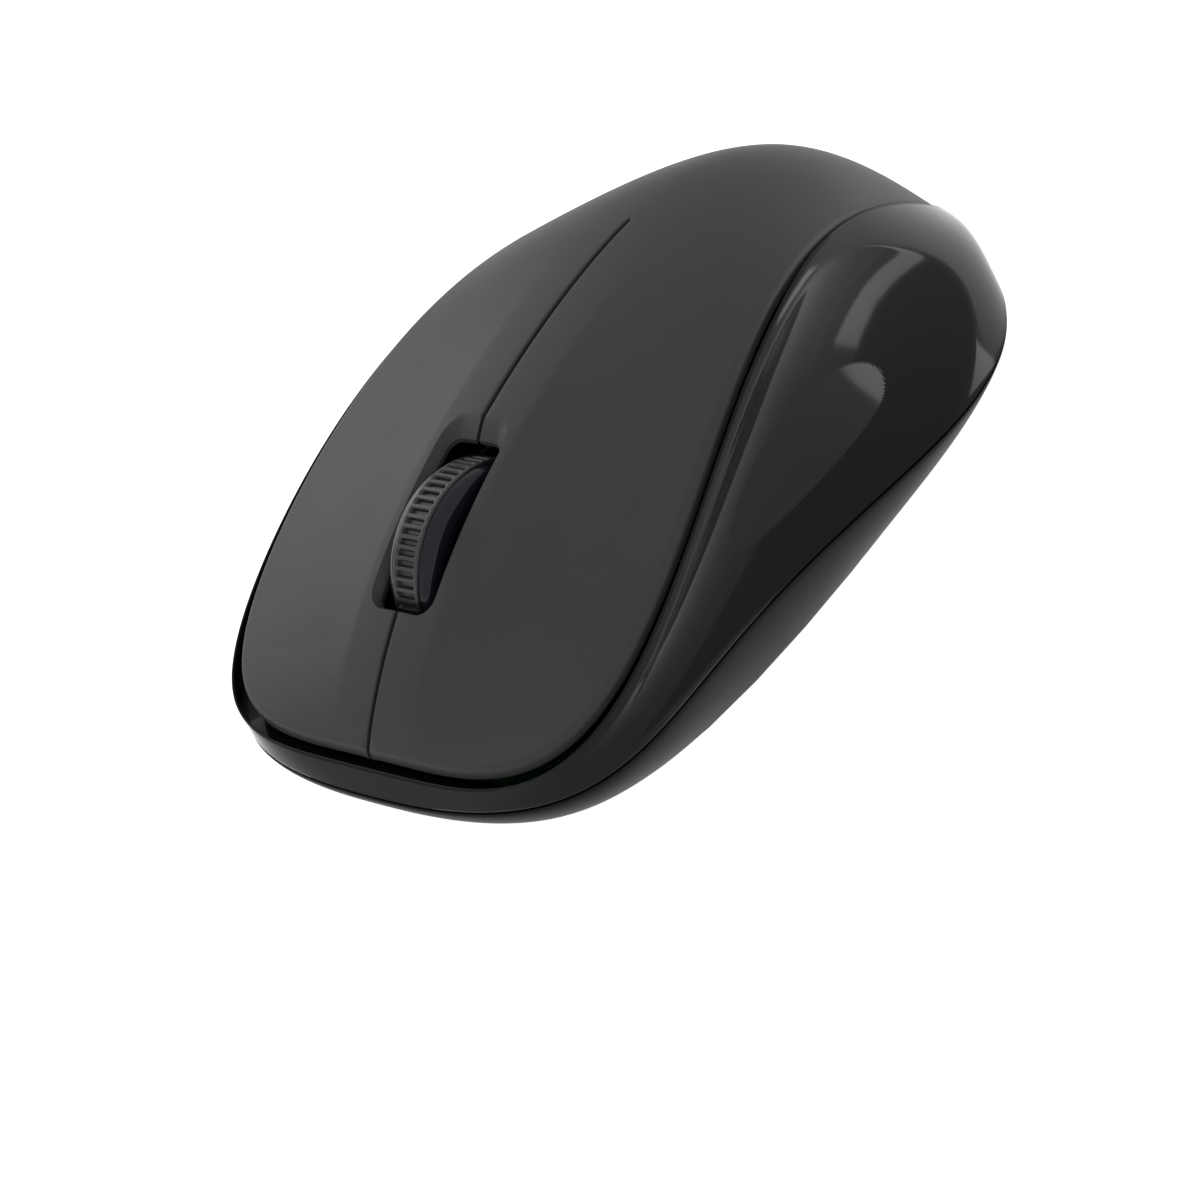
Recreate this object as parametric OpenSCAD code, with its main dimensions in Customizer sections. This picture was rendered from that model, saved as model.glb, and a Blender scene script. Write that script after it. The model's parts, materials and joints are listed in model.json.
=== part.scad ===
// Compact wireless three-button mouse: matte top cover with two flexing
// buttons, gloss side frame, satin base, ribbed scroll wheel and the
// interior that such a mouse has. Millimetres, +Z up, nose towards -Y,
// origin on the table under the middle of the body.

/* [Body] */
// Overall length, nose to tail
body_l = 111.7; // [108:0.1:135]
// Overall width across the parting line
body_w = 62.5; // [58:0.1:76]
// Overall height above the table
body_h = 40.3; // [37:0.1:48]
// Wall of the frame and the base
wall = 1.8; // [1.4:0.1:2.4]
// Thickness of the top cover
cover_t = 1.6; // [1.2:0.1:2]
// Thickness of the floor of the base
floor_t = 1.8; // [1.4:0.1:2.4]
// Width of the dark groove between cover and frame, nose and sides
groove_w = 1.2; // [0.9:0.05:1.6]
// Width of the groove where it closes to a hairline at the tail
hairline_w = 0.35; // [0.3:0.05:0.6]
// Line between the frame and the base
seam = 0.25; // [0.15:0.05:0.5]
// Depth of the thumb scoops
scoop_d = 3; // [1:0.5:4]
// Thickness of the glide feet
foot_t = 0.6; // [0.4:0.1:1]

/* [Buttons] */
// Width of the slit between the buttons
slit_w = 0.5; // [0.3:0.1:1]
// Distance from the nose to the rear end of the slit
slit_l = 66.5; // [60:0.5:72]
// Gap at the bending line behind the buttons
bend_gap = 0.3; // [0.2:0.05:0.6]
// Half width of the raised spine along the slit
spine_w = 6; // [5:0.5:8]
// Depth of the finger grooves beside the spine
finger_d = 1; // [0:0.1:1.2]

/* [Scroll wheel] */
// Radius of the wheel over its tyre
wheel_r = 12; // [10:0.1:14.5]
// Width of the tyre
tyre_w = 3.8; // [3:0.1:5]
// Thickness of the tyre
tyre_t = 1.8; // [1.2:0.1:2.4]
// Number of pockets around the tyre
rib_n = 62; // [40:1:80]
// Depth of the pockets
rib_d = 0.5; // [0.3:0.1:0.8]
// Overall width of the wheel over its cheeks
wheel_w = 6.8; // [5.5:0.1:8]
// Distance from the nose to the axle
wheel_back = 27; // [25:0.5:30]
// Radius of the axle
axle_r = 1.5; // [1:0.1:2]
// Space between the wheel and the slot in the cover
slot_gap = 0.9; // [0.7:0.1:1.5]
// Running clearance of axles and pins
run_gap = 0.08; // [0.04:0.01:0.1]

/* [Electronics] */
// Thickness of the circuit board
board_t = 1.6; // [1:0.1:2]
// Width of the circuit board
board_w = 37; // [36:0.5:42]
// Height of the board over the floor
board_lift = 2.2; // [2:0.1:3]
// Distance of the button switches from the middle
switch_x = 13; // [12.8:0.1:14]
// Height of the button switches
switch_h = 6.5; // [5:0.1:8]
// Travel of the power switch
power_travel = 3; // [2:0.5:4]

/* [Battery and receiver] */
// Diameter of the cell
cell_d = 14.5; // [10.5:0.1:17.5]
// Length of the cell with its nub
cell_l = 50.5; // [44.5:0.5:50.5]
// Space around the cell
cell_gap = 0.6; // [0.4:0.1:1]
// Thickness of the compartment walls
bay_wall = 1.2; // [0.8:0.1:1.6]
// Thickness of the battery door
door_t = 1.5; // [1.2:0.1:2]
// Space around the battery door
door_gap = 0.3; // [0.3:0.05:0.6]
// Thickness of the USB receiver
rx_t = 6.5; // [5.5:0.1:7.5]
// Length of the USB receiver
rx_l = 19; // [17:0.5:22]
// Width of the USB receiver
rx_w = 14.4; // [13:0.1:16]

/* [Hidden] */
$fn = 48;

// Scale of the outer surfaces against the size they were drawn at
sx = body_w / 62.5;
sy = body_l / 111.7;
sz = (body_h - foot_t) / 39.7;
nose = -body_l / 2;
tail = body_l / 2;

// Each closed line of the body: ends along Y, bluntness of the ends, then
// half widths and heights that a Bernstein curve blends from nose to tail.
cover_y = [nose + 2.4 * sy, tail - 0.6 * sy];
cover_p = 0.5;
cover_x = [39.6, 28.3, 19.2, 11] * sx;
cover_z = [11.2, 20, 48, 35.4, 11] * sz;
crown_p = 1.9;
crown_z = [30, 20.4, 26.7, 44.8] * sz;
crown_m = 1.85;
rim_y = [nose + 1 * sy, tail];
rim_drop = [1.45, 1.5, 0.9, 0.2];
part_y = [nose, tail - 2.4 * sy];
part_p = 0.8;
part_x = [54.2, 12, 42.8, 30] * sx;
part_z = [6.4, 9.9, 12.4, 5.2, 7.6] * sz;
sole_y = [nose + 7 * sy, tail - 7.2 * sy];
sole_p = 0.55;
sole_x = [34, 25, 25, 23.5] * sx;
tail_bulge = 1.1;

// Heights of the floor and the board
floor_z = foot_t;
floor_top = floor_z + floor_t;
board_z = floor_top + board_lift;
board_top = board_z + board_t;

// Scroll wheel and its cradle
wheel_y = nose + wheel_back;
wheel_z = board_top + 1 + wheel_r;
wheel_half = wheel_w / 2;
arm_x = wheel_half + 1;
arm_t = 1.6;
cradle_back = wheel_r + 3.5;
cradle_fore = wheel_r + 2.5;
cradle_z = wheel_z - 5;
bar_z = board_top + 5.5;
pin_r = 1.2;
post_x = arm_x + arm_t + 1.4;
post_t = 2;
bar_half = 9;

// Buttons and their switches
slit_end = nose + slit_l;
switch_y = wheel_y - 10;
switch_top = board_top + switch_h;
plunger_up = 0.6;
press_gap = 0.1;

// Sensor, board, battery compartment
sensor_y = wheel_y + 13;
board_rear = wheel_y + 19;
board_fore = nose + 8.3;
bay_in = cell_d / 2 + cell_gap;
bay_fore = board_rear + 0.45;
spring_l = 4;
cell_y = bay_fore + bay_wall + spring_l;
contact_t = 0.4;
bay_rear = cell_y + cell_l + contact_t + 0.2;
door_axis_y = bay_fore + 0.6;
door_axis_r = 1.3;
door_axis_z = floor_z + 0.1 + door_axis_r;
door_z = floor_z + 0.1;
door_pin_r = 0.8;
cell_z = floor_top + 1 + cell_d / 2;
bay_top = cell_z + 2.5;
rx_gap = 0.3;
rx_x = bay_in + bay_wall + rx_gap + rx_t / 2;
rx_y = 20;
rx_z = floor_z + 0.2;
rx_out = rx_x + rx_t / 2 + rx_gap;
rx_fore = rx_y - rx_w / 2 - rx_gap;
rx_rear = rx_y + rx_w / 2 + rx_gap;
rx_top = rx_z + rx_l + 0.5;

// Screws that join the base and the frame
screw_y = rx_y;
screw_x = max(rx_out + bay_wall + 2.75, 20);
screw_r = 1.1;
boss_r = 2.6;
boss_z = floor_top + 6.6;

function bern(c, s) = let(n = len(c) - 1, k = [1, n, n * (n - 1) / 2, n * (n - 1) * (n - 2) / 6, 1])
    (n == 3 ? c[0] * pow(1 - s, 3) + 3 * c[1] * s * pow(1 - s, 2) + 3 * c[2] * s * s * (1 - s) + c[3] * pow(s, 3)
        : c[0] * pow(1 - s, 4) + 4 * c[1] * s * pow(1 - s, 3) + 6 * c[2] * s * s * pow(1 - s, 2)
        + 4 * c[3] * pow(s, 3) * (1 - s) + c[4] * pow(s, 4));
function ease(k) = let(c = max(0, min(1, k))) c * c * (3 - 2 * c);
function frac(u) = (1 - cos(180 * u)) / 2;
function along(e, u) = e[0] + (e[1] - e[0]) * frac(u);
function swell(u, p, c) = pow(max(0, sin(180 * u)), p) * bern(c, frac(u));
// Where along a line with the ends e the position y is reached
function at_y(e, y) = acos(1 - 2 * max(0, min(1, (y - e[0]) / (e[1] - e[0])))) / 180;
// Spreads the steps so that the blunt ends get enough of them
function spread(v) = pow(v, 1.8) / (pow(v, 1.8) + pow(1 - v, 1.8));

// Edge of the top cover
function cover_edge(u) = [swell(u, cover_p, cover_x), along(cover_y, u), foot_t + bern(cover_z, frac(u))];
// Upper edge of the frame, outside the groove
function groove_at(u) = groove_w + (hairline_w - groove_w) * ease((u - 0.5) / 0.16);
function rim_edge(u) = let(e = cover_edge(u))
    [e[0] + groove_at(u) * min(1, u / 0.02) * min(1, (1 - u) / 0.05), along(rim_y, u),
        e[2] - bern(rim_drop, frac(u))];
// Line where the frame meets the base
function part_edge(u) = [swell(u, part_p, part_x), along(part_y, u), foot_t + bern(part_z, frac(u))];
// Outline of the flat underside
function sole_edge(u) = [swell(u, sole_p, sole_x), along(sole_y, u), floor_z];
// Height of the cover on its middle line
function crown(u) = foot_t + cover_z[0] + (cover_z[4] - cover_z[0]) * frac(u) + swell(u, crown_p, crown_z);
// Top surface at the station u and the distance x from the middle
function finger(x, ex, y) = let(g = max(0, min(1, (x - spine_w) / max(ex - spine_w, 1))))
    finger_d * 4 * g * (1 - g) * ease((7 - y) / 30) * max(0, min(1, (y - nose - 2.4) / 8));
function top_z(u, x) = let(e = cover_edge(u), q = min(1, abs(x) / max(e[0], 0.01)))
    e[2] + (crown(u) - e[2]) * (1 - pow(q, crown_m)) - finger(abs(x), e[0], e[1]);
function top_at(u, x) = [x, along(cover_y, u), top_z(u, x)];
function unit(v) = v / max(norm(v), 1e-9);
function top_normal(u, x) = let(e = cover_edge(u)[0], a = min(u, 0.995), xi = x - sign(x) * 0.1)
    unit(cross(top_at(a, xi + 0.05) - top_at(a, xi - 0.05), top_at(a + 0.002, xi) - top_at(a - 0.002, xi)));
// Thumb scoop: a teardrop with a crisp rear edge that fades out towards the nose
function scoop_r(u, t) = norm([(u - 0.55) / (0.45 - 0.265 * ease((u - 0.4) / 0.25)), (t - 0.53) / 0.47]);
function scoop(u, t) = scoop_d * ease((u - 0.1) / 0.4) * (1 - pow(min(1, scoop_r(u, t)), 2.4));
// Outer surface of the frame between its two edges
function frame_at(u, t) = let(g = rim_edge(u), p = part_edge(u) + [0, 0, seam / 2])
    g + (p - g) * t - [scoop(u, t), 0, 0] - tail_bulge * ease((u - 0.62) / 0.2) * sin(180 * t) * inward(u);
function frame_normal(u, t) = let(a = max(0.004, min(0.996, u)), b = max(0.02, min(0.98, t)))
    unit(cross(frame_at(a + 0.003, b) - frame_at(a - 0.003, b), frame_at(a, b - 0.01) - frame_at(a, b + 0.01)));
// Outer surface of the base between the parting line and the sole
function base_at(u, t) = let(p = part_edge(u) - [0, 0, seam / 2], b = sole_edge(u),
    k = pow(t, 1.6 - 0.6 * ease((u - 0.5) / 0.3)))
    [p[0] + (b[0] - p[0]) * k, p[1] + (b[1] - p[1]) * k, p[2] + (b[2] - p[2]) * t];
function base_normal(u, t) = let(a = max(0.004, min(0.996, u)), b = max(0.02, min(0.98, t)))
    unit(cross(base_at(a + 0.003, b) - base_at(a - 0.003, b), base_at(a, b - 0.01) - base_at(a, b + 0.01)));
// Horizontal direction that points into the body at the station u
function inward(u) = let(a = max(0.01, min(0.99, u)), d = part_edge(a + 0.005) - part_edge(a - 0.005))
    u < 0.001 ? [0, 1, 0] : u > 0.999 ? [0, -1, 0] : unit([-d[1], d[0], 0]);

// Closed solid between an outer and an inner sheet of rows x cols points
module sheet(outer, inner) {
    rows = len(outer);
    cols = len(outer[0]);
    n = rows * cols;
    points = concat([for (r = outer) for (p = r) p], [for (r = inner) for (p = r) p]);
    function id(i, j) = i * cols + j;
    top = [for (i = [0:rows - 2]) for (j = [0:cols - 2]) for (k = [0, 1])
        k == 0 ? [id(i, j), id(i + 1, j + 1), id(i + 1, j)] : [id(i, j), id(i, j + 1), id(i + 1, j + 1)]];
    low = [for (f = top) [f[0] + n, f[2] + n, f[1] + n]];
    ring = concat([for (i = [0:rows - 2]) id(i, 0)], [for (j = [0:cols - 2]) id(rows - 1, j)],
        [for (i = [rows - 1:-1:1]) id(i, cols - 1)], [for (j = [cols - 1:-1:1]) id(0, j)]);
    side = [for (i = [0:len(ring) - 1]) for (k = [0, 1]) let(a = ring[i], b = ring[(i + 1) % len(ring)])
        k == 0 ? [a, b + n, a + n] : [a, b, b + n]];
    polyhedron(points, concat(top, low, side), 4);
}

// Closed ring through sections that all have the same number of points
module hoop(sections) {
    rows = len(sections);
    cols = len(sections[0]);
    points = [for (s = sections) for (p = s) p];
    function id(i, j) = (i % rows) * cols + (j % cols);
    polyhedron(points, [for (i = [0:rows - 1]) for (j = [0:cols - 1]) for (k = [0, 1])
        k == 0 ? [id(i, j), id(i + 1, j + 1), id(i, j + 1)] : [id(i, j), id(i + 1, j), id(i + 1, j + 1)]], 4);
}

function flip(p) = [-p[0], p[1], p[2]];
steps = 26;
// Stations once around the body: up the right side, then back on the left
function around() = concat([for (i = [0:steps]) [spread(i / steps), 1]],
    [for (i = [steps - 1:-1:1]) [spread(i / steps), -1]]);
function place(p, side) = side > 0 ? p : flip(p);

// Wire of radius r along a list of points, as a chain of six-sided rings
module wire(path, r) {
    n = len(path);
    m = 6;
    function dir(i) = unit(path[min(i + 1, n - 1)] - path[max(i - 1, 0)]);
    function side(i) = unit(cross(dir(i), abs(dir(i)[2]) > 0.8 ? [1, 0, 0] : [0, 0, 1]));
    points = [for (i = [0:n - 1]) for (j = [0:m - 1]) let(a = j * 360 / m, s = side(i), t = cross(dir(i), s))
        path[i] + r * (cos(a) * s + sin(a) * t)];
    wall = [for (i = [0:n - 2]) for (j = [0:m - 1]) for (k = [0, 1]) let(j2 = (j + 1) % m)
        k == 0 ? [i * m + j, (i + 1) * m + j2, i * m + j2] : [i * m + j, (i + 1) * m + j, (i + 1) * m + j2]];
    caps = [[for (j = [0:m - 1]) j], [for (j = [m - 1:-1:0]) (n - 1) * m + j]];
    polyhedron(points, concat(wall, caps), 4);
}

module along_x(x0, x1, r) {
    translate([x0, 0, 0]) rotate([0, 90, 0]) cylinder(r = r, h = x1 - x0);
}

module along_y(y0, y1, r) {
    translate([0, y0, 0]) rotate([-90, 0, 0]) cylinder(r = r, h = y1 - y0);
}

module block(a, b) {
    translate(a) cube(b - a);
}

module rounded(w, l, r) {
    hull() for (x = [-1, 1]) for (y = [-1, 1]) translate([x * (w / 2 - r), y * (l / 2 - r)]) circle(r = r, $fn = 32);
}

module stadium(l, w) {
    translate([-l / 2, -w / 2]) square([l, w]);
    for (x = [-1, 1]) translate([x * l / 2, 0]) circle(d = w);
}

// ---- top cover ----

slot_fore = wheel_r + slot_gap - 0.3;
slot_rear = wheel_r / 2;
module slot_cut() {
    translate([0, wheel_y + (slot_rear - slot_fore) / 2, wheel_z - 6]) linear_extrude(40)
        rounded(wheel_w + 2 * slot_gap - 0.6, slot_fore + slot_rear, 1.5);
    translate([0, wheel_y, wheel_z])
        along_x(-wheel_half - slot_gap + 0.3, wheel_half + slot_gap - 0.3, wheel_r + slot_gap - 0.4);
}

function lip_t(u) = cover_t - 0.4 * ease((0.12 - u) / 0.12);
function cover_in(u, x) = top_at(u, x) - lip_t(u) * top_normal(u, x);
button_rows = 22;
button_cols = 11;
cover_u0 = 0.012;
cover_u1 = 0.985;
button_u1 = at_y(cover_y, slit_end - bend_gap / 2);
function button_u(i) = let(a = pow(i / button_rows, 1.35)) cover_u0 + (button_u1 - cover_u0) * a;
function button_x(u, j) = let(e = cover_edge(u)[0], k = j / button_cols) slit_w / 2 + (e - slit_w / 2) * k;

module button_sheet() {
    us = [for (i = [0:button_rows]) button_u(i)];
    sheet([for (u = us) [for (j = [button_cols:-1:0]) top_at(u, button_x(u, j))]],
        [for (u = us) [for (j = [button_cols:-1:0]) cover_in(u, button_x(u, j))]]);
}

module button() {
    u = at_y(cover_y, switch_y + 3);
    difference() {
        button_sheet();
        slot_cut();
    }
    under = top_z(u, switch_x) - 0.7 * cover_t;
    foot = switch_top + plunger_up + press_gap;
    translate([switch_x, switch_y + 3, foot]) cylinder(r = 1.5, h = under - foot);
    block([switch_x - 0.6, switch_y + 3, foot + 1.5], [switch_x + 0.6, switch_y + 8, under + 0.4]);
}

module right_button() {
    color([0.17, 0.17, 0.175]) button();
}

module left_button() {
    color([0.17, 0.17, 0.175]) mirror([1, 0, 0]) button();
}

palm_rows = 20;
palm_cols = 22;
module palm_cover() {
    u0 = at_y(cover_y, slit_end + bend_gap / 2);
    us = [for (i = [0:palm_rows]) let(a = 1 - pow(1 - i / palm_rows, 1.5)) u0 + (cover_u1 - u0) * a];
    color([0.17, 0.17, 0.175]) {
        sheet([for (u = us) [for (j = [palm_cols:-1:0]) top_at(u, cover_edge(u)[0] * (2 * j / palm_cols - 1))]],
            [for (u = us) [for (j = [palm_cols:-1:0]) cover_in(u, cover_edge(u)[0] * (2 * j / palm_cols - 1))]]);
        for (s = [-1, 1]) for (y = [22, 40]) let(u = at_y(cover_y, y), e = cover_edge(u))
            translate([s * (e[0] - 2.2), y, e[2] - 1.9]) cylinder(r = 0.9, h = 1.9);
    }
}

// ---- side frame ----

ledge_w = 2.2;
// Lip of the frame beside the groove, which stays clear of the cover
function rim_t(u) = max(0.06, min(0.35, groove_at(u) - 0.3));
function ledge_t(u) = 0.6 + 0.3 * ease(u / 0.15);
function ledge_d(u) = 1.6 + 1 * ease(u / 0.15) - 0.8 * ease((u - 0.85) / 0.15);
function frame_section(u) = let(g = rim_edge(u), p = part_edge(u), in = inward(u), d = ledge_d(u),
    span = g[2] - p[2] - seam / 2, ts = min(0.82, (d + ledge_t(u)) / span + 0.06),
    p1 = g + in * rim_t(u), p2 = p1 - [0, 0, d], p3 = p2 + in * ledge_w, p4 = p3 - [0, 0, ledge_t(u)])
    concat([for (t = [0, 0.1, 0.25, 0.45, 0.65, 0.85, 1]) frame_at(u, t)], [frame_at(u, 1) + in * wall],
    [for (j = [0.75, 0.5, 0.25, 0]) let(t = ts + (1 - ts) * j) frame_at(u, t) - wall * frame_normal(u, t)],
    [p4, p3, p2, p1]);

module mid_frame() {
    u = at_y(rim_y, screw_y);
    g = rim_edge(u);
    p = part_edge(u);
    t = (g[2] - boss_z - 4) / (g[2] - p[2]);
    web = frame_at(u, t)[0] - wall + 0.4;
    color([0.07, 0.07, 0.075]) difference() {
        union() {
            hoop([for (v = around()) [for (q = frame_section(v[0])) place(q, v[1])]]);
            for (s = [-1, 1]) {
                translate([s * screw_x, screw_y, boss_z]) cylinder(r = boss_r, h = 5.5);
                block([min(s * screw_x, s * web), screw_y - 1.5, boss_z + 3],
                    [max(s * screw_x, s * web), screw_y + 1.5, boss_z + 5.5]);
            }
        }
        for (s = [-1, 1]) translate([s * screw_x, screw_y, boss_z - 1]) cylinder(r = screw_r + 0.02, h = 5.5);
    }
}

// ---- base ----

module bay_walls() {
    // side walls of the cell compartment
    for (s = [0, 1]) mirror([s, 0, 0])
        block([bay_in, bay_fore, floor_top - 0.5], [bay_in + bay_wall, bay_rear + bay_wall, bay_top]);
    // end walls
    block([-bay_in - 0.1, bay_fore, door_axis_z + door_axis_r + 0.4], [bay_in + 0.1, bay_fore + bay_wall, bay_top]);
    block([-bay_in - 0.1, bay_rear, floor_top - 0.5], [bay_in + 0.1, bay_rear + bay_wall, bay_top]);
    // garage of the receiver
    block([bay_in, rx_fore - bay_wall, floor_top - 0.5], [rx_out + bay_wall, rx_rear + bay_wall, rx_top + bay_wall]);
}

function base_section(u) = let(b = sole_edge(u), in = inward(u))
    concat([for (t = [0, 0.2, 0.4, 0.6, 0.8, 1]) base_at(u, t)],
        [b + in * 2.6 + [0, 0, 0.3], b + in * 2.6 + [0, 0, floor_t - 0.3]],
        [for (t = [0.75, 0.5, 0.25, 0]) base_at(u, t) + (t == 0 ? in * wall : -wall * base_normal(u, t))]);

pegs = [[-8.6, wheel_y - 17.1], [8.6, wheel_y - 17.1], [-16, board_rear - 2], [16, board_rear - 2]];
module base_shell() {
    us = [for (v = around()) [place(sole_edge(v[0]) + inward(v[0]) * 1.2, v[1])[0],
        place(sole_edge(v[0]) + inward(v[0]) * 1.2, v[1])[1]]];
    color([0.11, 0.11, 0.115]) difference() {
        union() {
            hoop([for (v = around()) [for (q = base_section(v[0])) place(q, v[1])]]);
            translate([0, 0, floor_z]) linear_extrude(floor_t) polygon(us);
            bay_walls();
            // lugs for the pins of the battery door
            for (x = [-bay_in - 2.4, bay_in])
                block([x, door_axis_y - 2, floor_top - 0.5], [x + 2.4, door_axis_y + 2, door_axis_z + 2.4]);
            // posts for the pins of the wheel cradle
            for (s = [-1, 1]) block([s > 0 ? post_x : -post_x - post_t, wheel_y + cradle_back - 2.4, floor_top - 0.5],
                [s > 0 ? post_x + post_t : -post_x, wheel_y + cradle_back + 2.4, cradle_z + 2.6]);
            // standoffs and pegs of the circuit board
            for (p = pegs) {
                translate([p[0], p[1], floor_top - 0.5]) cylinder(r = 1.8, h = board_lift + 0.5);
                translate([p[0], p[1], floor_top - 0.5]) cylinder(r = 0.9, h = board_top - floor_top + 1);
            }
            for (s = [-1, 1]) translate([s * screw_x, screw_y, floor_top - 0.5])
                cylinder(r = boss_r, h = boss_z - floor_top + 0.5);
        }
        // battery opening
        block([-bay_in, door_axis_y - door_axis_r - door_gap, floor_z - 1], [bay_in, bay_rear, floor_top + 0.3]);
        translate([0, door_axis_y, door_axis_z])
            along_x(-bay_in - 1.6, bay_in + 1.6, door_pin_r + run_gap);
        // mouth of the receiver garage, with room for a fingernail
        block([rx_out - 2 * rx_gap - rx_t, rx_fore, floor_z - 1], [rx_out, rx_rear, rx_top]);
        translate([rx_x, rx_fore, floor_z - 1]) linear_extrude(2) stadium(2, 3);
        // sensor window
        translate([0, sensor_y, floor_z - 1]) linear_extrude(floor_t + 2) stadium(3, 6);
        // slot of the power knob
        block([-board_w / 2 + 3.2, wheel_y + 10.7 - power_travel - 0.5, floor_z - 1],
            [-board_w / 2 + 7, wheel_y + 14.3, floor_top + 1]);
        translate([0, wheel_y + cradle_back, cradle_z])
            along_x(-post_x - post_t - 1, post_x + post_t + 1, pin_r + run_gap);
        for (s = [-1, 1]) translate([s * screw_x, screw_y, floor_z - 1]) {
            cylinder(r = 2.5, h = 2.5);
            cylinder(r = screw_r + 0.15, h = 20);
        }
    }
}

module front_foot() {
    color([0.1, 0.1, 0.1]) translate([0, nose + 14.5, 0]) linear_extrude(foot_t) stadium(22, 5);
}

module rear_feet() {
    color([0.1, 0.1, 0.1]) for (s = [-1, 1]) translate([s * (bay_in + 5), tail - 21.5, 0])
        rotate(s * 80) linear_extrude(foot_t) stadium(9, 4);
}

module screws() {
    color([0.75, 0.75, 0.77]) for (s = [-1, 1]) translate([s * screw_x, screw_y, floor_z + 0.3]) {
        difference() {
            cylinder(r = 2.2, h = 1.2);
            for (a = [0, 90]) rotate(a) translate([-1.3, -0.25, -0.5]) cube([2.6, 0.5, 1]);
        }
        cylinder(r = screw_r, h = boss_z + 4 - floor_z - 0.3);
    }
}

// ---- scroll wheel ----

module wheel_tyre() {
    pitch = 360 / rib_n;
    rib = pitch * 0.42;
    crest = wheel_r - 0.06;
    outline = [for (i = [0:rib_n - 1]) for (c = [[0, crest], [rib, crest],
        [rib + pitch * 0.08, wheel_r - rib_d], [pitch * 0.92, wheel_r - rib_d]])
        let(a = i * pitch + c[0]) [c[1] * cos(a), c[1] * sin(a)]];
    color([0.06, 0.06, 0.06]) translate([0, wheel_y, wheel_z]) rotate([0, 90, 0]) difference() {
        union() {
            translate([0, 0, -tyre_w / 2 + 0.45]) linear_extrude(tyre_w - 0.9) polygon(outline);
            for (z = [-tyre_w / 2, tyre_w / 2 - 0.5]) translate([0, 0, z]) cylinder(r = wheel_r, h = 0.5, $fn = 96);
        }
        translate([0, 0, -tyre_w]) cylinder(r = wheel_r - tyre_t, h = 2 * tyre_w, $fn = 96);
    }
}

slot_ring = wheel_r - 4.8;
module wheel_hub() {
    lip = 0.04;
    seat = wheel_r - tyre_t - lip;
    cheek = wheel_half - tyre_w / 2 - lip;
    color([0.09, 0.09, 0.1]) translate([0, wheel_y, wheel_z]) rotate([0, 90, 0]) difference() {
        union() {
            rotate_extrude() {
                translate([0, -0.8]) square([wheel_r - 2.2, 1.6]);
                translate([wheel_r - 3.2, -wheel_half]) square([seat - wheel_r + 3.2, wheel_w]);
                for (m = [0, 1]) mirror([0, m]) translate([wheel_r - 0.3 - cheek, tyre_w / 2 + lip]) intersection() {
                    circle(r = cheek);
                    square(cheek);
                }
                for (m = [0, 1]) mirror([0, m]) translate([seat - 0.5, tyre_w / 2 + lip])
                    square([wheel_r - 0.3 - cheek - seat + 0.5, cheek]);
                translate([0, -wheel_half + 0.4]) square([3, wheel_w - 0.8]);
            }
            cylinder(r = axle_r, h = 2 * (arm_x + arm_t + 0.7), center = true);
        }
        for (i = [0:17]) rotate(i * 20) translate([slot_ring - 1.1, -0.7, -2]) cube([2.2, 1.4, 4]);
    }
}

module wheel_cradle() {
    module arm() {
        hull() {
            circle(r = 3.2);
            translate([5, cradle_back]) circle(r = 2.4);
        }
        hull() {
            circle(r = 2.9);
            translate([wheel_z - bar_z, -cradle_fore]) circle(r = 1.9);
        }
    }
    color([0.85, 0.85, 0.83]) translate([0, wheel_y, wheel_z]) difference() {
        union() {
            for (x = [-arm_x - arm_t, arm_x]) translate([x, 0, 0]) rotate([0, 90, 0]) linear_extrude(arm_t) arm();
            translate([0, -cradle_fore, bar_z - wheel_z]) along_x(-bar_half, bar_half, 1.5);
            for (s = [-1, 1]) translate([0, cradle_back, cradle_z - wheel_z])
                along_x(s > 0 ? arm_x : -post_x - 1.6, s > 0 ? post_x + 1.6 : -arm_x, pin_r);
        }
        along_x(-arm_x - arm_t - 1, arm_x + arm_t + 1, axle_r + run_gap);
    }
}

module detent_spring() {
    // wire from the cradle's arm that leans towards the slotted ring of the hub
    color([0.8, 0.8, 0.82]) translate([0, wheel_y, wheel_z])
        wire([[arm_x + 0.1, 6.2, -2.6], [arm_x - 1.4, 5.2, 3.2 - slot_ring], [1.75, 4.2, 2 - slot_ring],
            [1.25, 3, 1.4 - slot_ring], [1.25, 1.6, 1 - slot_ring], [1.9, 0.6, 0.9 - slot_ring]], 0.25);
}

module coil(turns, r0, r1, length, r) {
    n = turns * 14;
    wire([for (i = [0:n]) let(k = i / n, a = i * 360 / 14, q = r0 + (r1 - r0) * k) [q * cos(a), q * sin(a), length * k]], r);
}

module cradle_spring() {
    color([0.8, 0.8, 0.82]) translate([bar_half - 1.4, wheel_y - cradle_fore, board_top + 0.25])
        coil(5, 1.3, 1.3, bar_z - 1.5 - board_top - 0.55, 0.2);
}

module optic() {
    difference() {
        block([arm_x - 0.2, -1.8, board_top], [arm_x + 2, 1.8, wheel_z - slot_ring + 0.9]);
        block([arm_x - 1, -0.6, board_top - 1], [arm_x + 0.4, 0.6, board_top + 1]);
    }
    translate([0, 0, wheel_z - slot_ring]) along_x(arm_x - 0.45, arm_x, 0.8);
}

module encoder_emitter() {
    color([0.75, 0.78, 0.85]) translate([0, wheel_y, 0]) optic();
}

module encoder_detector() {
    color([0.08, 0.08, 0.1]) translate([0, wheel_y, 0]) mirror([1, 0, 0]) optic();
}

// ---- electronics ----

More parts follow.
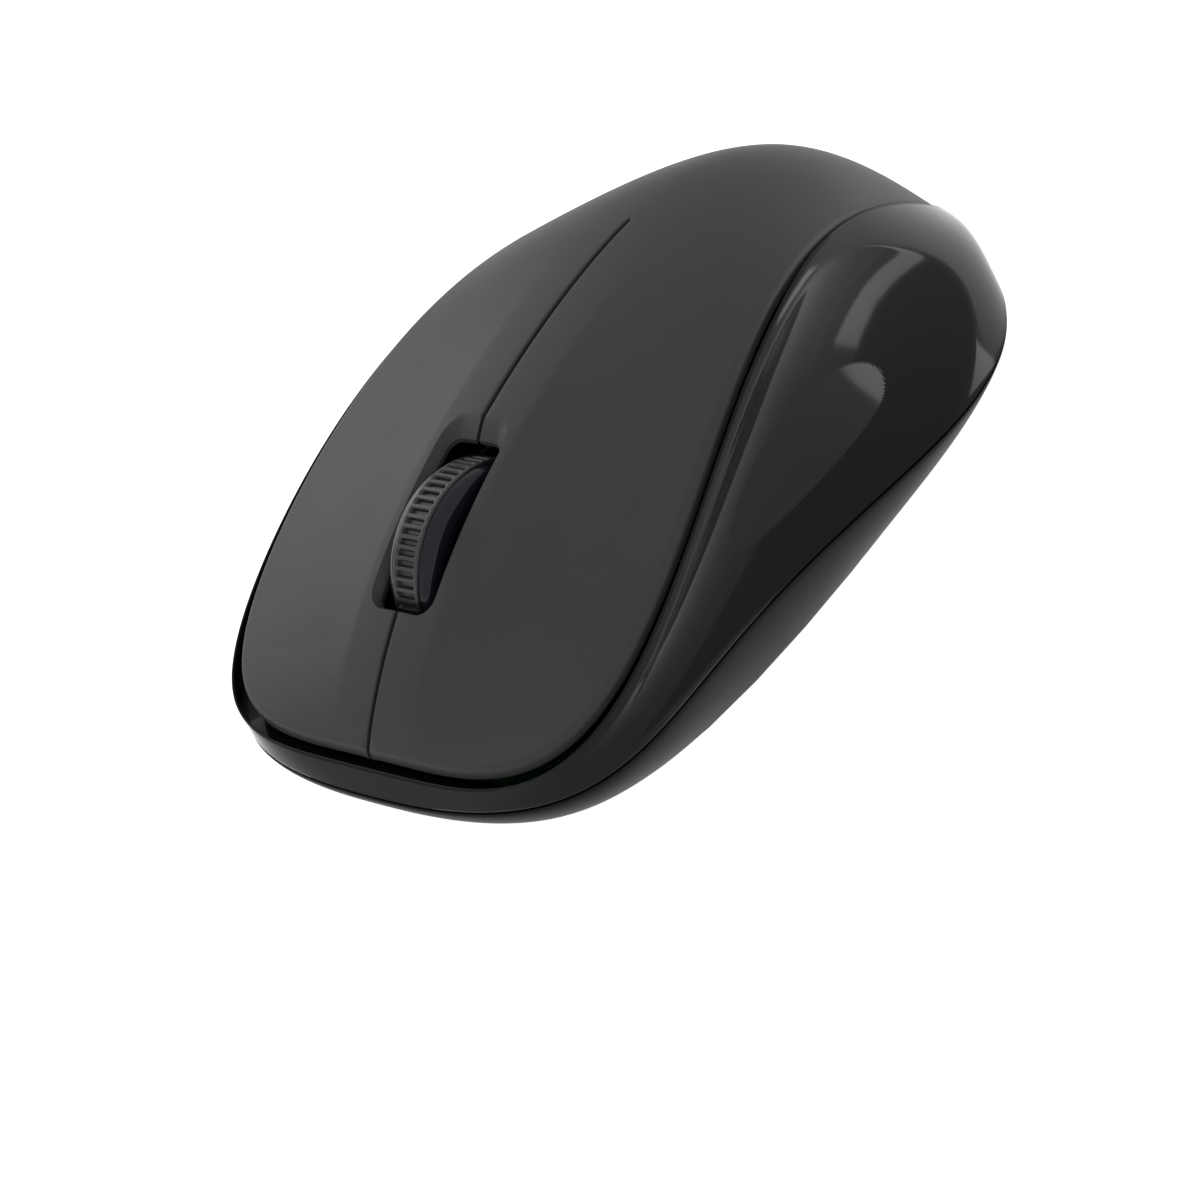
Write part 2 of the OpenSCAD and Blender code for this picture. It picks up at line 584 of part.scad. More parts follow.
module circuit_board() {
    half = board_w / 2;
    color([0.1, 0.35, 0.16]) translate([0, 0, board_z]) linear_extrude(board_t) difference() {
        polygon([[-half + 5, board_fore], [half - 5, board_fore], [half, board_fore + 4], [half, board_rear],
            [-half, board_rear], [-half, board_fore + 4]]);
        for (p = pegs) translate(p) circle(r = 1);
        for (s = [-1, 1]) translate([s * (post_x + post_t / 2), wheel_y + cradle_back]) square([post_t + 1, 6], center = true);
        translate([0, sensor_y]) circle(r = 2.4);
    }
}

module button_switch() {
    w = 5.8;
    l = 12.8;
    translate([switch_x, switch_y, board_top]) difference() {
        block([-w / 2, -l / 2, 0], [w / 2, l / 2, switch_h]);
        translate([0, 3, switch_h - 2.4]) cylinder(r = 1 + run_gap, h = 3);
        for (y = [-l / 2 - 1, l / 2 - 0.6]) block([-w, y, switch_h - 0.8], [w, y + 1.6, switch_h + 1]);
        for (y = [-l / 4, l / 4]) translate([0, y, switch_h * 0.35]) along_x(-w, -w / 2 + 0.5, 0.6);
    }
}

module right_switch() {
    color([0.12, 0.12, 0.13]) button_switch();
}

module left_switch() {
    color([0.12, 0.12, 0.13]) mirror([1, 0, 0]) button_switch();
}

module plunger() {
    translate([switch_x, switch_y + 3, switch_top - 1.4]) cylinder(r = 1, h = 1.4 + plunger_up);
}

module right_plunger() {
    color([0.8, 0.15, 0.12]) plunger();
}

module left_plunger() {
    color([0.8, 0.15, 0.12]) mirror([1, 0, 0]) plunger();
}

tact_h = bar_z - 1.5 - board_top - 0.6;
module middle_switch() {
    color([0.75, 0.75, 0.77]) translate([0, wheel_y - cradle_fore, board_top]) difference() {
        block([-3, -3, 0], [3, 3, tact_h]);
        translate([0, 0, tact_h - 1.6]) cylinder(r = 1.5 + run_gap, h = 3);
    }
}

module middle_plunger() {
    color([0.1, 0.1, 0.1]) translate([0, wheel_y - cradle_fore, board_top + tact_h - 1]) cylinder(r = 1.5, h = 1.5);
}

module legs(n, pitch, span) {
    for (s = [-1, 1]) for (i = [0:n - 1]) translate([s * span, (i - (n - 1) / 2) * pitch, 0]) {
        translate([-0.35, -0.2, 0]) cube([0.7, 0.4, 0.2]);
        translate([s > 0 ? -0.9 : 0.2, -0.2, 0]) cube([0.7, 0.4, 0.9]);
    }
}

module sensor_chip() {
    color([0.07, 0.07, 0.08]) translate([0, sensor_y, board_top]) {
        block([-3.6, -4, 0.3], [3.6, 4, 2.6]);
        legs(4, 1.8, 4.2);
    }
}

module sensor_lens() {
    color([0.85, 0.9, 0.95]) translate([0, sensor_y, floor_top]) {
        block([-6, -5.5, 0], [6, 5.5, 1.2]);
        translate([0, 0, -1]) cylinder(r = 2, h = board_z - floor_top + 0.9);
    }
}

module controller_chip() {
    color([0.07, 0.07, 0.08]) translate([13.2, wheel_y + 6, board_top]) {
        block([-2, -5, 0.15], [2, 5, 1.6]);
        legs(8, 1.2, 2.6);
    }
}

module crystal_can() {
    color([0.8, 0.8, 0.82]) translate([-13, wheel_y + 7.5, board_top]) linear_extrude(3.4) stadium(6.4, 4.4);
}

module capacitors() {
    color([0.15, 0.2, 0.45]) for (x = [-11.2, -15.8]) translate([x, wheel_y + 1.5, board_top]) {
        cylinder(r = 2, h = 5);
        translate([0, 0, 4.9]) cylinder(r = 1.4, h = 0.2);
    }
}

knob_x = -board_w / 2 + 5.1;
knob_y = wheel_y + 12.3;
module power_switch() {
    color([0.78, 0.78, 0.8]) difference() {
        block([knob_x - 2.1, knob_y - power_travel - 2.6, floor_top + 0.35], [knob_x + 2.1, knob_y + 2.6, board_z]);
        block([knob_x - 0.9, knob_y - power_travel - 1.1, floor_top], [knob_x + 0.9, knob_y + 1.1, board_z - 0.5]);
    }
}

module power_knob() {
    color([0.06, 0.06, 0.06]) {
        block([knob_x - 1.5, knob_y - 1.6, floor_z + 0.5], [knob_x + 1.5, knob_y + 1.6, floor_top + 0.1]);
        block([knob_x - 0.7, knob_y - 0.8, floor_top], [knob_x + 0.7, knob_y + 0.8, board_z - 0.8]);
        for (y = [-0.9, 0.1]) block([knob_x - 1.2, knob_y + y, floor_z + 0.2], [knob_x + 1.2, knob_y + y + 0.6, floor_z + 0.6]);
    }
}

// ---- battery and receiver ----

module battery_cell() {
    color([0.15, 0.3, 0.55]) translate([0, 0, cell_z]) along_y(cell_y + 0.5, cell_y + cell_l - 1.5, cell_d / 2);
}

module battery_terminals() {
    color([0.8, 0.8, 0.8]) translate([0, 0, cell_z]) {
        along_y(cell_y, cell_y + 0.5, cell_d / 2 - 0.9);
        along_y(cell_y + cell_l - 1.5, cell_y + cell_l - 1.1, cell_d / 2 - 0.7);
        along_y(cell_y + cell_l - 1.2, cell_y + cell_l, 2.75);
    }
}

module negative_spring() {
    color([0.82, 0.82, 0.84]) translate([0, bay_fore + bay_wall + 0.35, cell_z]) rotate([-90, 0, 0])
        coil(4, 4.2, 2.2, spring_l - 0.7, 0.3);
}

module positive_contact() {
    color([0.82, 0.82, 0.84]) block([-4, cell_y + cell_l, cell_z - 4], [4, cell_y + cell_l + contact_t, cell_z + 4]);
}

module battery_door() {
    half = bay_in - door_gap;
    color([0.11, 0.11, 0.115]) {
        difference() {
            union() {
                block([-half, door_axis_y, door_z], [half, bay_rear - door_gap, door_z + door_t]);
                translate([0, door_axis_y, door_axis_z]) along_x(-half, half, door_axis_r);
            }
            // finger notch and grip lines near the free end
            translate([0, bay_rear - 5, door_z - 0.1]) linear_extrude(0.6) stadium(6, 3);
            for (i = [1:3]) block([-4, bay_rear - 8 - 1.8 * i, door_z - 0.1],
                [4, bay_rear - 7.2 - 1.8 * i, door_z + 0.3]);
        }
        translate([0, door_axis_y, door_axis_z]) along_x(-bay_in - 1.2, bay_in + 1.2, door_pin_r);
    }
}

plug_l = 12;
plug_w = 12;
plug_t = 4.5;
module receiver_cap() {
    color([0.09, 0.09, 0.095]) translate([rx_x, rx_y, rx_z]) linear_extrude(rx_l - plug_l)
        rounded(rx_t, rx_w, 1.6);
}

module receiver_plug() {
    color([0.8, 0.8, 0.82]) translate([rx_x, rx_y, rx_z + rx_l - plug_l]) difference() {
        block([-plug_t / 2, -plug_w / 2, 0], [plug_t / 2, plug_w / 2, plug_l]);
        block([-plug_t / 2 + 0.3, -plug_w / 2 + 0.3, 0.6], [plug_t / 2 - 0.3, plug_w / 2 - 0.3, plug_l + 1]);
        for (y = [-2.5, 2.5]) block([-plug_t, y - 1.2, 5], [plug_t, y + 1.2, 7.2]);
    }
}

module receiver_tongue() {
    color([0.9, 0.9, 0.92]) translate([rx_x, rx_y, rx_z + rx_l - plug_l])
        block([-plug_t / 2 + 0.35, -plug_w / 2 + 0.6, 0.6], [-0.2, plug_w / 2 - 0.6, plug_l - 0.4]);
}

base_shell();
mid_frame();
palm_cover();
left_button();
right_button();
wheel_tyre();
wheel_hub();
wheel_cradle();
detent_spring();
cradle_spring();
encoder_emitter();
encoder_detector();
circuit_board();
left_switch();
right_switch();
middle_switch();
left_plunger();
right_plunger();
middle_plunger();
sensor_chip();
sensor_lens();
controller_chip();
crystal_can();
capacitors();
power_switch();
power_knob();
battery_cell();
battery_terminals();
negative_spring();
positive_contact();
battery_door();
receiver_cap();
receiver_plug();
receiver_tongue();
front_foot();
rear_feet();
screws();
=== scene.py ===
import bpy
import bmesh
import json
import math
from mathutils import Matrix, Vector


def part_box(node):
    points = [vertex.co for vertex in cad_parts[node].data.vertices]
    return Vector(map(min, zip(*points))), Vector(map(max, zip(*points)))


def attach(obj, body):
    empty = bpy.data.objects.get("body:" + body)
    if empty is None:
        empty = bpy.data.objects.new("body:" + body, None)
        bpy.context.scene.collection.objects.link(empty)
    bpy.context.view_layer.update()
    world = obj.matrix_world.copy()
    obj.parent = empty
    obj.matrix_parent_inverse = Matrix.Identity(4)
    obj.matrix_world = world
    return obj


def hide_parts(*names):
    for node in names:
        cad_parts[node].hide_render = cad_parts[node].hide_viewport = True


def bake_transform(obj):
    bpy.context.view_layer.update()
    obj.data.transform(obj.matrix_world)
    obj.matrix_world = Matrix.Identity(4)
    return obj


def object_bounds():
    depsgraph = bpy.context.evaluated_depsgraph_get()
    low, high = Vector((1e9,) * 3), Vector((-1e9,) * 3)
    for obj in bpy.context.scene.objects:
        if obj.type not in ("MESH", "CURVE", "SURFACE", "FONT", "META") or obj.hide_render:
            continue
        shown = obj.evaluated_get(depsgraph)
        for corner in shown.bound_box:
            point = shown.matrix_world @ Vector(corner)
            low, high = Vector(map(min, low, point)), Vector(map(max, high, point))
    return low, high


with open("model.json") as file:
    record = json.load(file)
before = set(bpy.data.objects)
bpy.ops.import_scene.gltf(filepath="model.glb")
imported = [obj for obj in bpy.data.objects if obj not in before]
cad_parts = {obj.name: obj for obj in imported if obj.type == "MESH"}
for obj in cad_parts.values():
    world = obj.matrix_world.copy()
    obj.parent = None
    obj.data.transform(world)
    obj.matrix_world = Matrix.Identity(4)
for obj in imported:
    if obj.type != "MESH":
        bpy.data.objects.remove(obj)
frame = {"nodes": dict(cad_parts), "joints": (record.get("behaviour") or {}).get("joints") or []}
cad_lo, cad_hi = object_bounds()
MM = 0.001

# ---- the shape's formulas, in millimetres, as in the part's own source ----
NOSE, TAIL = cad_lo.y / MM, -cad_lo.y / MM
FOOT = (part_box("base_shell")[0].z) / MM
COVER_Y = (NOSE + 2.4, TAIL - 0.6)
RIM_Y = (NOSE + 1.0, TAIL)
PART_Y = (NOSE, TAIL - 2.4)
SOLE_Y = (NOSE + 7.0, TAIL - 7.2)
COVER_X, COVER_BLUNT = (39.6, 28.3, 19.2, 11), 0.5
COVER_Z = (11.2, 20, 48, 35.4, 11)
RIM_DROP = (1.45, 1.5, 0.9, 0.2)
PART_X, PART_BLUNT = (54.2, 12, 42.8, 30), 0.8
PART_Z = (6.4, 9.9, 12.4, 5.2, 7.6)
SOLE_X, SOLE_BLUNT = (34, 25, 25, 23.5), 0.55
CROWN_Z, CROWN_P = (30, 20.4, 26.7, 44.8), 1.9
CROWN_M = 1.85
FINGER_D, SPINE = 1.0, 6
SCOOP_D, SCOOP_POWER, SCOOP_SOFT = 3, 2.4, 0.05
TAIL_BULGE = 1.1
SEAM = 0.25
COVER_T = 1.6
GROOVE, HAIRLINE = 1.2, 0.35
SLIT = 0.5
SLIT_ROUND = 0.25
hinge = next(j for j in frame["joints"] if j["name"] == "left_button_press")
HINGE = Vector(hinge["pos_m"])
SLIT_END = HINGE.y / MM


def clamp(v, a=0.0, b=1.0):
    return max(a, min(b, v))


def ease(k):
    k = clamp(k)
    return k * k * (3 - 2 * k)


def bern(c, s):
    """Bernstein curve with the coefficients c at the fraction s."""
    n = len(c) - 1
    return sum(math.comb(n, i) * c[i] * s ** i * (1 - s) ** (n - i) for i in range(n + 1))


def frac(u):
    """Share of the way from nose to tail at the station u, finer near the ends."""
    return (1 - math.cos(math.pi * u)) / 2


def along(e, u):
    return e[0] + (e[1] - e[0]) * frac(u)


def swell(u, p, c):
    """Half width that is zero at both ends; p sets how blunt the ends are."""
    return max(0.0, math.sin(math.pi * u)) ** p * bern(c, frac(u))


def at_y(e, y):
    """Station of an edge with the ends e at the length y."""
    return math.acos(1 - 2 * clamp((y - e[0]) / (e[1] - e[0]))) / math.pi


def cover_edge(u):
    """Lower edge of the matte cover."""
    return Vector((swell(u, COVER_BLUNT, COVER_X), along(COVER_Y, u),
                   FOOT + bern(COVER_Z, frac(u))))


def groove_at(u):
    return GROOVE + (HAIRLINE - GROOVE) * ease((u - 0.5) / 0.16)


def rim_edge(u):
    """Upper edge of the gloss frame, outside the groove."""
    e, f = cover_edge(u), frac(u)
    return Vector((e.x + groove_at(u) * min(1, u / 0.02) * min(1, (1 - u) / 0.05), along(RIM_Y, u),
                   e.z - bern(RIM_DROP, f)))


def part_edge(u):
    """Line where frame and base meet."""
    return Vector((swell(u, PART_BLUNT, PART_X), along(PART_Y, u),
                   FOOT + bern(PART_Z, frac(u))))


def sole_edge(u):
    return Vector((swell(u, SOLE_BLUNT, SOLE_X), along(SOLE_Y, u), FOOT))


def crown(u):
    """Height of the cover on its middle line."""
    return FOOT + along((COVER_Z[0], COVER_Z[-1]), u) + swell(u, CROWN_P, CROWN_Z)


def finger(x, ex, y):
    """Hollow of the finger beds beside the level spine."""
    g = clamp((x - SPINE) / max(ex - SPINE, 1))
    return FINGER_D * 4 * g * (1 - g) * ease((7 - y) / 30) * clamp((y - COVER_Y[0]) / 8)


def top(x, y):
    u = at_y(COVER_Y, y)
    e = cover_edge(u)
    q = min(1, abs(x) / max(e.x, 0.01))
    return e.z + (crown(u) - e.z) * (1 - q ** CROWN_M) - finger(abs(x), e.x, y)


def top_normal(x, y):
    d = 0.05
    sx = (top(x + d, y) - top(x - d, y)) / (2 * d)
    sy = (top(x, y + d) - top(x, y - d)) / (2 * d)
    return Vector((-sx, -sy, 1)).normalized()


def inward(u):
    """Horizontal direction into the body at the station u."""
    if u < 0.001:
        return Vector((0, 1, 0))
    if u > 0.999:
        return Vector((0, -1, 0))
    d = part_edge(clamp(u + 0.004, 0, 1)) - part_edge(clamp(u - 0.004, 0, 1))
    return Vector((-d.y, d.x, 0)).normalized()


def dish(u, t):
    """Depth of the thumb scoop: a teardrop with a firm rear edge that fades out towards the nose."""
    r = math.hypot((u - 0.55) / (0.45 - 0.265 * ease((u - 0.4) / 0.25)), (t - 0.53) / 0.47)
    f = 1 - r ** SCOOP_POWER
    return SCOOP_D * ease((u - 0.1) / 0.4) * (f + math.hypot(f, SCOOP_SOFT)) / 2


def frame_at(u, t):
    """Outer surface of the frame, from its rim (t = 0) to the parting line (t = 1)."""
    g = rim_edge(u)
    p = part_edge(u) + Vector((0, 0, SEAM / 2))
    out = -TAIL_BULGE * ease((u - 0.62) / 0.2) * math.sin(math.pi * t) * inward(u)
    return g + (p - g) * t - Vector((dish(u, t), 0, 0)) + out


def base_at(u, t):
    """Outer surface of the base, from the parting line (t = 0) to the sole (t = 1)."""
    p, b = part_edge(u) - Vector((0, 0, SEAM / 2)), sole_edge(u)
    k = t ** (1.6 - 0.6 * ease((u - 0.5) / 0.3))
    return Vector((p.x + (b.x - p.x) * k, p.y + (b.y - p.y) * k, p.z + (b.z - p.z) * t))


def even(edge, n, u0=0.0, u1=1.0):
    """n + 1 stations that lie evenly along an edge."""
    us = [u0 + (u1 - u0) * (k / 1500) for k in range(1501)]
    length = [0.0]
    for a, b in zip(us, us[1:]):
        length.append(length[-1] + (edge(b) - edge(a)).length)
    out, j = [], 0
    for i in range(n + 1):
        want = length[-1] * i / n
        while j < len(us) - 2 and length[j + 1] < want:
            j += 1
        k = clamp((want - length[j]) / max(length[j + 1] - length[j], 1e-9))
        out.append(us[j] + (us[j + 1] - us[j]) * k)
    return out


# ---- mesh helpers ----
def grid(rows, ring=False, loop=False):
    """Vertices and faces of a sheet of rows; ring closes each row, loop joins the last row to the first."""
    n, m = len(rows), len(rows[0])
    verts = [Vector(p) * MM for r in rows for p in r]
    faces = []
    for i in range(n if loop else n - 1):
        for j in range(m if ring else m - 1):
            i2, j2 = (i + 1) % n, (j + 1) % m
            faces.append((i * m + j, i2 * m + j, i2 * m + j2, i * m + j2))
    return verts, faces


def make(name, verts, faces, mat, body, sharp=35, weld=1e-6):
    me = bpy.data.meshes.new(name)
    me.from_pydata([tuple(v) for v in verts], [], faces)
    bm = bmesh.new()
    bm.from_mesh(me)
    bmesh.ops.remove_doubles(bm, verts=bm.verts, dist=weld)
    bmesh.ops.dissolve_degenerate(bm, edges=bm.edges, dist=1e-7)
    bmesh.ops.recalc_face_normals(bm, faces=bm.faces)
    bm.to_mesh(me)
    bm.free()
    ob = bpy.data.objects.new(name, me)
    bpy.context.collection.objects.link(ob)
    me.materials.append(mat)
    finish_shading(ob, sharp)
    if body:
        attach(ob, body)
    return ob


def finish_shading(ob, sharp=35):
    ob.data.polygons.foreach_set("use_smooth", [True] * len(ob.data.polygons))
    ob.data.set_sharp_from_angle(angle=math.radians(sharp))


def bake(ob):
    """Turns the modifiers of a piece into its mesh."""
    dg = bpy.context.evaluated_depsgraph_get()
    me = bpy.data.meshes.new_from_object(ob.evaluated_get(dg))
    ob.modifiers.clear()
    ob.data = me


def lathe(profile, seg, mirror=1):
    """Rows of points around the X axis from (x, radius) pairs."""
    return [[(mirror * x, r * math.cos(2 * math.pi * k / seg), r * math.sin(2 * math.pi * k / seg))
             for x, r in profile] for k in range(seg)]


def shift(verts, d):
    return [v + Vector(d) * MM for v in verts]


# ---- materials ----
def material(name, color, rough, metallic=0.0, ior=1.45, spec=0.5, grain=0.0, grain_mm=0.2, mottle=0.06,
             rough_var=0.06, coat=0.0, trans=0.0, edge_wear_and_highlight=0.0):
    """Moulded or plated surface: fine grain as bump, cloudy tone and gloss, and paler edges: real wear on
    the feet, a painted highlight on the tyre's rib edges.
    """
    m = bpy.data.materials.new(name)
    m.use_nodes = True
    nt = m.node_tree
    nd, ln = nt.nodes, nt.links
    b = nd["Principled BSDF"]
    b.inputs["Metallic"].default_value = metallic
    b.inputs["IOR"].default_value = ior
    b.inputs["Specular IOR Level"].default_value = spec
    b.inputs["Coat Weight"].default_value = coat
    b.inputs["Coat Roughness"].default_value = 0.05
    b.inputs["Transmission Weight"].default_value = trans
    co = nd.new("ShaderNodeTexCoord")
    cloud = nd.new("ShaderNodeTexNoise")
    cloud.inputs["Scale"].default_value = 90
    cloud.inputs["Detail"].default_value = 5
    cloud.inputs["Roughness"].default_value = 0.6
    ln.new(co.outputs["Object"], cloud.inputs["Vector"])
    ramp = nd.new("ShaderNodeValToRGB")
    lo, hi = [c * (1 - mottle) for c in color], [min(1, c * (1 + mottle)) for c in color]
    ramp.color_ramp.elements[0].position = 0.3
    ramp.color_ramp.elements[1].position = 0.7
    ramp.color_ramp.elements[0].color = (*lo, 1)
    ramp.color_ramp.elements[1].color = (*hi, 1)
    ln.new(cloud.outputs["Fac"], ramp.inputs["Fac"])
    col = ramp.outputs["Color"]
    # paler colour on sharp edges: real wear on the feet, a painted highlight along the tyre's rib edges
    if edge_wear_and_highlight:
        geo = nd.new("ShaderNodeNewGeometry")
        edge = nd.new("ShaderNodeValToRGB")
        edge.color_ramp.elements[0].position = 0.52
        edge.color_ramp.elements[1].position = 0.62
        edge.color_ramp.elements[0].color = (0, 0, 0, 1)
        edge.color_ramp.elements[1].color = (edge_wear_and_highlight, edge_wear_and_highlight, edge_wear_and_highlight, 1)
        ln.new(geo.outputs["Pointiness"], edge.inputs["Fac"])
        mix = nd.new("ShaderNodeMix")
        mix.data_type = "RGBA"
        mix.inputs[7].default_value = (*[min(1, c * 1.8 + 0.01) for c in color], 1)
        ln.new(edge.outputs["Color"], mix.inputs[0])
        ln.new(col, mix.inputs[6])
        col = mix.outputs[2]
    ln.new(col, b.inputs["Base Color"])
    fine = nd.new("ShaderNodeTexNoise")
    fine.inputs["Scale"].default_value = 1000 / grain_mm
    fine.inputs["Detail"].default_value = 3
    ln.new(co.outputs["Object"], fine.inputs["Vector"])
    rr = nd.new("ShaderNodeMapRange")
    rr.inputs["To Min"].default_value = max(0.02, rough - rough_var)
    rr.inputs["To Max"].default_value = min(1, rough + rough_var)
    ln.new(cloud.outputs["Fac"], rr.inputs["Value"])
    ln.new(rr.outputs["Result"], b.inputs["Roughness"])
    if grain:
        bump = nd.new("ShaderNodeBump")
        bump.inputs["Strength"].default_value = grain
        bump.inputs["Distance"].default_value = grain_mm * MM * 0.3
        ln.new(fine.outputs["Fac"], bump.inputs["Height"])
        ln.new(bump.outputs["Normal"], b.inputs["Normal"])
    return m


MATTE = material("cover_matte", (0.03, 0.03, 0.0305), 0.5, ior=1.4, spec=0.35, grain=0.35,
                 grain_mm=0.22, mottle=0.05)
GLOSS = material("frame_gloss", (0.006, 0.006, 0.0065), 0.09, ior=1.3, spec=0.22, mottle=0.05,
                 rough_var=0.03)
SATIN = material("base_satin", (0.007, 0.007, 0.0075), 0.42, ior=1.3, spec=0.15, grain=0.25,
                 grain_mm=0.3, mottle=0.08)
# the tyre's paler rib edges are a painted highlight
RUBBER = material("tyre_rubber", (0.012, 0.012, 0.012), 0.4, ior=1.5, grain=0.4, grain_mm=0.18,
                  mottle=0.15, edge_wear_and_highlight=0.35)
HUBM = material("hub_gloss", (0.006, 0.007, 0.011), 0.14, ior=1.33, mottle=0.06)
WHITE = material("natural_moulding", (0.62, 0.61, 0.57), 0.45, grain=0.2, grain_mm=0.3)
STEEL = material("plated_steel", (0.62, 0.62, 0.63), 0.24, metallic=1, mottle=0.05, grain=0.1, grain_mm=0.1)
BOARD = material("solder_mask", (0.012, 0.10, 0.035), 0.3, coat=0.4, mottle=0.35, grain=0.3, grain_mm=0.8)
CHIP = material("chip_package", (0.018, 0.018, 0.019), 0.55, grain=0.4, grain_mm=0.1)
SWITCH = material("switch_body", (0.03, 0.03, 0.033), 0.4, grain=0.3, grain_mm=0.2)
RED = material("plunger_red", (0.5, 0.035, 0.025), 0.35)
EMIT = material("emitter_epoxy", (0.45, 0.47, 0.55), 0.2, coat=0.3)
LENS = material("lens_clear", (0.9, 0.94, 0.96), 0.06, trans=0.9, ior=1.49, mottle=0.02, rough_var=0.02)
CAN = material("capacitor_sleeve", (0.02, 0.04, 0.22), 0.35, coat=0.3)
CELL = material("cell_sleeve", (0.02, 0.09, 0.26), 0.28, coat=0.6, mottle=0.08)
KNOB = material("knob_plastic", (0.012, 0.012, 0.012), 0.42, grain=0.3)
FOOTM = material("foot_sheet", (0.025, 0.025, 0.027), 0.5, mottle=0.3, edge_wear_and_highlight=0.3)
CAP = material("receiver_plastic", (0.022, 0.022, 0.023), 0.38, grain=0.3, grain_mm=0.25)
INSERT = material("plug_insert", (0.66, 0.66, 0.64), 0.4)

looks = {
    "wheel_cradle": WHITE, "detent_spring": STEEL, "cradle_spring": STEEL, "encoder_emitter": EMIT,
    "encoder_detector": CHIP, "circuit_board": BOARD, "left_switch": SWITCH, "right_switch": SWITCH,
    "middle_switch": STEEL, "left_plunger": RED, "right_plunger": RED, "middle_plunger": KNOB,
    "sensor_chip": CHIP, "sensor_lens": LENS, "controller_chip": CHIP, "crystal_can": STEEL,
    "capacitors": CAN,
    "power_switch": STEEL, "power_knob": KNOB, "battery_cell": CELL, "battery_terminals": STEEL,
    "negative_spring": STEEL, "positive_contact": STEEL, "battery_door": SATIN, "receiver_cap": CAP,
    "receiver_plug": STEEL, "receiver_tongue": INSERT, "front_foot": FOOTM,
    "rear_feet": FOOTM, "screws": STEEL,
    "wheel_hub": HUBM, "wheel_tyre": RUBBER, "base_shell": SATIN, "mid_frame": GLOSS, "palm_cover": MATTE,
    "left_button": MATTE, "right_button": MATTE,
}
for name, ob in frame["nodes"].items():
    ob.data.materials.clear()
    ob.data.materials.append(looks[name])

# ---- sizes of the scroll wheel ----
wheel_lo, wheel_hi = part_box("wheel_tyre")
WHEEL = (wheel_lo + wheel_hi) / 2 / MM
WHEEL_R = (wheel_hi.y - wheel_lo.y) / 2 / MM
WHEEL_HALF, TYRE_HALF = 3.4, 1.9
RIBS, RIB_D = 62, 0.5


# ---- top cover: two halves that meet behind the slit ----
def cover_half():
    """Right half: rows across from the middle to the edge, then down the rounded edge, and an inner skin."""
    n, m = 190, 62
    us = even(cover_edge, n, 1.3e-5, 1 - 2e-5)
    y0, y1 = COVER_Y[0] + 0.6, COVER_Y[1] - 0.6
    rows, under = [], []
    near = min(range(n + 1), key=lambda i: abs(y0 + (y1 - y0) * i / n - SLIT_END))
    for i, u in enumerate(us):
        e = cover_edge(u)
        a, b = cover_edge(clamp(u + 0.002)), cover_edge(clamp(u - 0.002))
        d = a - b
        h = Vector((0, -1 if u < 0.5 else 1, 0))
        if 1e-4 < u < 0.9999:
            h = Vector((d.y, -d.x, 0)).normalized()
        pr = e - h * 0.6
        slope = clamp((top(pr.x, pr.y) - top(pr.x + 0.2 * h.x, pr.y + 0.2 * h.y)) / 0.2, 0.2, 4)
        al = math.atan(slope)
        edge_r = 1.0 + 0.2 * ease((frac(u) - 0.05) / 0.3)
        inset = edge_r * (1 - math.sin(al))
        p0 = e - h * inset
        p0.x = max(p0.x, 0.02)
        yc = y0 + (y1 - y0) * i / n
        behind = i >= near
        if i == near:
            yc = SLIT_END
        xc = 0.0 if behind else min(SLIT / 2, p0.x)
        c = Vector((xc, min(max(yc, p0.y) if i < 3 else yc, y1), 0))
        if i in (0, n):
            c.y = p0.y
        line = Vector((p0.x - c.x, p0.y - c.y, 0))
        length = max(line.length, 1e-6)
        ks = [min(s / length, 1) for s in (0, 0.03, 0.08, 0.15, SLIT_ROUND)]
        k0 = ks[-1]
        ks += [k0 + (1 - k0) * (j / m) for j in range(1, m + 1)]
        row, low = [], []
        for k in ks:
            q = c + line * k
            s = k * length
            drop = 0
            if not behind and s < SLIT_ROUND:
                drop = SLIT_ROUND - math.sqrt(max(0.0, SLIT_ROUND ** 2 - (SLIT_ROUND - s) ** 2))
            z = top(q.x, q.y)
            nn = top_normal(max(q.x, 0.06), q.y)
            row.append(Vector((q.x, q.y, z - drop)))
            w = Vector((q.x, q.y, z)) - nn * COVER_T
            if k == 0 or w.x < xc:
                w.x = xc
            low.append(w)
        z0 = row[-1].z
        centre = Vector((p0.x, p0.y, z0)) - edge_r * (math.sin(al) * h + Vector((0, 0, math.cos(al))))
        for s in range(1, 8):
            th = al + (math.pi / 2 - al) * s / 7
            row.append(centre + edge_r * (math.sin(th) * h + Vector((0, 0, math.cos(th)))))
        foot = row[-1] - Vector((0, 0, 0.8))
        row.append(foot)
        row.append(foot - h * 0.25 - Vector((0, 0, 0.25)))
        for k in range(2, 10):
            low.append(low[len(ks) - 1].copy())
        low.append(low[-1].copy())
        for r in (row, low):
            for p in r:
                p.x = max(p.x, 0.0)
        rows.append(row)
        under.append(low)
    m2 = len(rows[0])
    verts = [p * MM for r in rows for p in r] + [p * MM for r in under for p in r]
    off = len(rows) * m2
    faces = []
    for i in range(n):
        for j in range(m2 - 1):
            a = i * m2 + j
            faces.append((a, a + m2, a + m2 + 1, a + 1))
            faces.append((a + off, a + 1 + off, a + m2 + 1 + off, a + m2 + off))
        a = i * m2
        faces.append((a, a + off, a + m2 + off, a + m2))
        a = i * m2 + m2 - 1
        faces.append((a, a + m2, a + m2 + off, a + off))
    for j in range(m2 - 1):
        faces.append((j, j + 1, j + 1 + off, j + off))
        a = n * m2 + j
        faces.append((a, a + off, a + 1 + off, a + 1))
    return verts, faces


